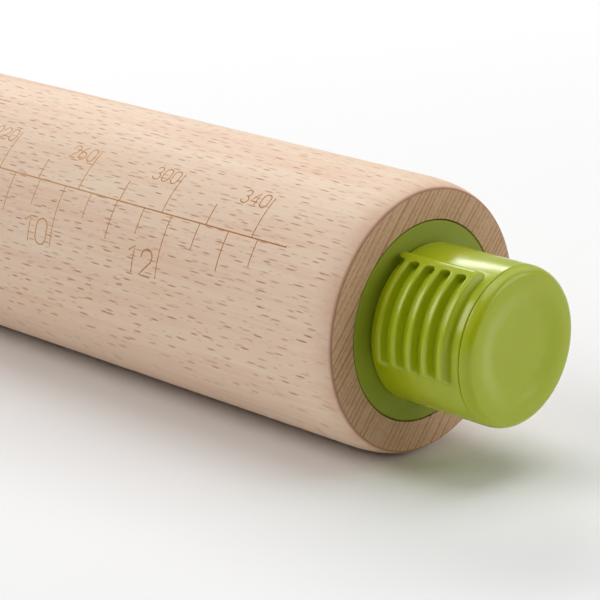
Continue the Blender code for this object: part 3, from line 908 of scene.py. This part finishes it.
# One pad, modelled flat as a comb with leaning walls, sliced across, and then bent round the knob.
# It is moulded in one pull away from its middle, so its walls run straight in that direction.
def gripPad(values, turnDeg):
    full = values["root"] + values["height"]
    bm = bmesh.new()
    crestLoop = [bm.verts.new((x, y, full)) for x, y in combOutline(values, 0)]
    rootLean = values["draft"] * full / values["height"]
    rootLoop = [bm.verts.new((x, y, 0)) for x, y in combOutline(values, rootLean)]
    bm.faces.new(crestLoop)
    bm.faces.new(rootLoop)
    for number in range(len(crestLoop)):
        wall = (crestLoop[number - 1], crestLoop[number], rootLoop[number], rootLoop[number - 1])
        bm.faces.new(wall)
    bmesh.ops.recalc_face_normals(bm, faces=bm.faces)
    crest = [edge for edge in bm.edges if set(crestLoop).issuperset(edge.verts)]
    bmesh.ops.bevel(
        bm, geom=crest, offset=values["crestRound"], segments=values["crestSteps"], profile=0.5,
        affect="EDGES", material=-1,
    )
    # slices, so that the pad bends evenly
    low = min(vertex.co.y for vertex in bm.verts)
    high = max(vertex.co.y for vertex in bm.verts)
    slices = math.floor((high - low) / values["bend"])
    for number in range(1, slices):
        cutAcross(bm, (0, low + (high - low) * number / slices, 0), (0, 1, 0))
    crestRadius = knob["radius"] + values["height"]
    middle = math.radians((values["topDeg"] + values["footDeg"]) / 2 + turnDeg)
    for vertex in bm.verts:
        x, along, height = vertex.co
        radius = knob["radius"] - values["root"] + height
        angle = middle + math.asin(crestRadius * math.sin(along / crestRadius) / radius)
        vertex.co = (x, -radius * math.sin(angle), radius * math.cos(angle))
    return objectFrom(bm, "gripPad")


def buildKnob(values):
    body = objectFrom(turned(rounded([
        (values["foot"], values["lip"]),
        (values["foot"], values["radius"], values["footEdge"]),
        (values["length"], values["radius"], values["endEdge"]),
        (values["length"], values["cavity"]),
        (values["webEnd"], values["cavity"], values["footEdge"]),
        (values["webEnd"], values["core"]),
        (values["webStart"], values["core"]),
        (values["webStart"], values["neckBore"]),
        (values["recessEnd"], values["neckBore"]),
        (values["recessEnd"], values["recess"]),
        (values["lipEnd"], values["recess"]),
        (values["lipEnd"], values["lip"]),
    ], steps=4), values["steps"]), "knobBody")
    for number in range(pad["count"]):
        combine(body, gripPad(pad, 360 / pad["count"] * number), "UNION")
    relief = values["webStart"] - hub["seatLength"]
    tap = screw(thread, values["webStart"] - relief / 2, values["webEnd"] + thread["pitch"] / 2, gap)
    combine(body, tap, "DIFFERENCE")
    atBothEnds(body, "knobShell", "knob_shell", "knob_{side}", knobFinish)


buildKnob(knob)
print("Knob shells built")


# Dished cap that closes each knob. From the seam it rounds over as an ellipse, rises slightly to a
# crest, and falls from there in an S to a flat middle. The ellipse begins at roundDeg, past the
# seam's own edge.
cap = {
    "seam": 0.00006, "seamEdge": 0.0004, "rimSlope": 0.15, "rimSteps": 5,
    "roundLength": 0.0042, "roundDrop": 0.0027, "roundDeg": 76, "roundSteps": 14,
    "crestRadius": 0.0193, "dishRun": 0.0080, "dishDepth": 0.0014, "dishSteps": 12,
    "skirtLength": 0.006, "skirtWall": 0.0018, "floor": 0.0018, "steps": 180,
}


def buildCap(values):
    start = knob["length"] + values["seam"]
    skirt = knob["cavity"] - gap
    skirtEnd = knob["length"] - values["skirtLength"]
    dishFloor = knobEnd - values["dishDepth"]
    inside = dishFloor - values["floor"]

    # the ellipse stops where it is as steep as the rim that follows it
    crown = knob["radius"] - values["roundDrop"]
    stop = math.atan(values["rimSlope"] * values["roundDrop"] / values["roundLength"])
    rimRadius = crown + values["roundDrop"] * math.sin(stop)
    rimWidth = rimRadius - values["crestRadius"]
    rimDrop = values["rimSlope"] * rimWidth / 2
    centre = knobEnd - rimDrop - values["roundLength"] * math.cos(stop)
    roundRadii = (values["roundLength"], values["roundDrop"])
    edge = arcPoints(
        (centre, crown), roundRadii, values["roundDeg"], math.degrees(stop), values["roundSteps"]
    )
    rim = []
    for step in range(1, values["rimSteps"] + 1):
        done = step / values["rimSteps"]
        rim.append((knobEnd - rimDrop * (1 - done) ** 2, rimRadius - rimWidth * done))
    dish = []
    for step in range(1, values["dishSteps"] + 1):
        done = step / values["dishSteps"]
        fall = values["dishDepth"] * (1 - math.cos(math.pi * done)) / 2
        dish.append((knobEnd - fall, values["crestRadius"] - values["dishRun"] * done))
    outline = rounded([
        (inside, 0),
        (inside, skirt - values["skirtWall"]),
        (skirtEnd, skirt - values["skirtWall"]),
        (skirtEnd, skirt, values["seamEdge"]),
        (start, skirt),
        (start, knob["radius"], values["seamEdge"]),
        *edge,
        *rim,
        *dish,
        (dishFloor, 0),
    ], steps=4)
    piece = objectFrom(turned(outline, values["steps"]), "capBody")
    atBothEnds(piece, "knobCap", "knob_cap", "knob_{side}", knobFinish)


buildCap(cap)
print("Caps built")


# The hidden hardware keeps its solids and gets its finish
hardware = {
    ("spindle_rod", "drive_pin", "rod_washer", "rod_nut"): steelFinish,
    ("bearing_sleeve", "thrust_washer"): acetalFinish,
}
for nodeName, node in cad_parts.items():
    for kinds, finish in hardware.items():
        if nodeName.startswith(kinds):
            node.data.materials.clear()
            node.data.materials.append(finish)
print("Hardware finished")


# Camera, floor and lamps
camera = {
    "aim": (0.15393, -0.00728, 0.04110), "azimuthDeg": 44.696, "elevationDeg": 17.449,
    "distance": 0.7933, "lens": 151.87, "sensor": 36, "farthest": 20,
}
# The floor has one colour for the light it throws back and another where the camera sees it
stage = {"floorSize": 6.0, "floorColour": (0.90, 0.90, 0.90, 1), "floorSeen": (0.915, 0.915, 0.915, 1)}
# Suns with a wide spread, which light the whole floor evenly, and one strip for the knob's highlight
lamps = {
    "overhead": {"from": (0.05, 0.05, 1.0), "spreadDeg": 48, "strength": 1.10},
    "back": {"from": (0.05, 0.75, 0.75), "spreadDeg": 42, "strength": 0.35},
    "frontLeft": {"from": (-0.50, -0.62, 0.60), "spreadDeg": 36, "strength": 1.20},
    "backRight": {"from": (0.75, 0.55, 0.35), "spreadDeg": 38, "strength": 0.85},
}
strip = {"from": (-0.67, 0.37, 0.64), "aimX": 0.1, "distance": 3.3, "size": (2.5, 0.54), "radiance": 9.5}
# The room is pale all round but for a dark side beyond the knob's cap, which the plastic reflects
room = {
    "white": (0.947, 0.947, 0.947, 1), "light": 0.04, "reflected": 0.50,
    "darkSide": (0.82, -0.56, 0.06), "darkRange": (0.66, 0.94), "darkShare": 0.92,
}


def placeCamera(values):
    azimuth = math.radians(values["azimuthDeg"])
    elevation = math.radians(values["elevationDeg"])
    back = Vector((
        math.sin(azimuth) * math.cos(elevation),
        -math.cos(azimuth) * math.cos(elevation),
        math.sin(elevation),
    ))
    data = bpy.data.cameras.new("camera")
    data.lens = values["lens"]
    data.sensor_width = values["sensor"]
    data.clip_end = values["farthest"]
    made = newObject("camera", data)
    made.location = Vector(values["aim"]) + back * values["distance"]
    made.rotation_euler = (math.pi / 2 - elevation, 0, azimuth)
    bpy.context.scene.camera = made


def buildFloor(values):
    bm = bmesh.new()
    bmesh.ops.create_grid(bm, x_segments=4, y_segments=4, size=values["floorSize"] / 2)
    floor = objectFrom(bm, "floor")
    finish, tree, shader = newMaterial("paleFloor", roughness=0.9, specular=0.0)
    rays = addNode(tree, "ShaderNodeLightPath", (-900, 0)).outputs
    seen = calculate(tree, "MAXIMUM", rays["Is Camera Ray"], rays["Is Glossy Ray"], place=(-700, 0))
    feed(tree, shader, i0=mixColours(tree, seen, values["floorColour"], values["floorSeen"]))
    floor.data.materials.append(finish)


def buildWorld(values):
    world = bpy.data.worlds.new("studio")
    bpy.context.scene.world = world
    world.use_nodes = True
    tree = world.node_tree
    background = tree.nodes["Background"]
    rays = addNode(tree, "ShaderNodeLightPath", (-1300, 0))
    towards = addNode(tree, "ShaderNodeTexCoord", (-1500, -300))
    side = Vector(values["darkSide"]).normalized()
    dot = addNode(tree, "ShaderNodeVectorMath", (-1300, -300), operation="DOT_PRODUCT")
    feed(tree, dot, i0=towards.outputs["Generated"], i1=side)
    darkness = mapRange(tree, dot.outputs["Value"], *values["darkRange"], place=(-1100, -300))
    kept = calculate(tree, "MULTIPLY_ADD", darkness, -values["darkShare"], 1.0, place=(-900, -300))
    level = addNode(tree, "ShaderNodeMix", (-900, 0), data_type="FLOAT")
    feed(tree, level, i0=rays.outputs["Is Glossy Ray"], i2=values["light"], i3=values["reflected"])
    strength = calculate(tree, "MULTIPLY", level.outputs[0], kept, place=(-700, -100))
    ambient = mixColours(tree, strength, (0, 0, 0, 1), (1, 1, 1, 1), place=(-500, -100))
    colour = mixColours(tree, rays.outputs["Is Camera Ray"], ambient, values["white"], place=(-300, 0))
    feed(tree, background, i0=colour, i1=1.0)


def placeLamp(name, values):
    data = bpy.data.lights.new(name, "SUN")
    data.angle = math.radians(values["spreadDeg"])
    data.energy = values["strength"]
    made = newObject(name, data)
    made.rotation_euler = Vector(values["from"]).to_track_quat("Z", "Y").to_euler()


def placeStrip(values):
    direction = Vector(values["from"]).normalized()
    data = bpy.data.lights.new("strip", "AREA")
    data.shape = "RECTANGLE"
    data.size, data.size_y = values["size"]
    data.energy = values["radiance"] * math.pi * data.size * data.size_y
    made = newObject("strip", data)
    made.location = Vector((values["aimX"], 0, axisHeight)) + direction * values["distance"]
    made.rotation_euler = direction.to_track_quat("Z", "Y").to_euler()
    made.visible_camera = False


placeCamera(camera)
buildFloor(stage)
buildWorld(room)
for lampName, lampValues in lamps.items():
    placeLamp(lampName, lampValues)
placeStrip(strip)
bpy.context.scene.view_settings.view_transform = "Standard"
print("Stage set")
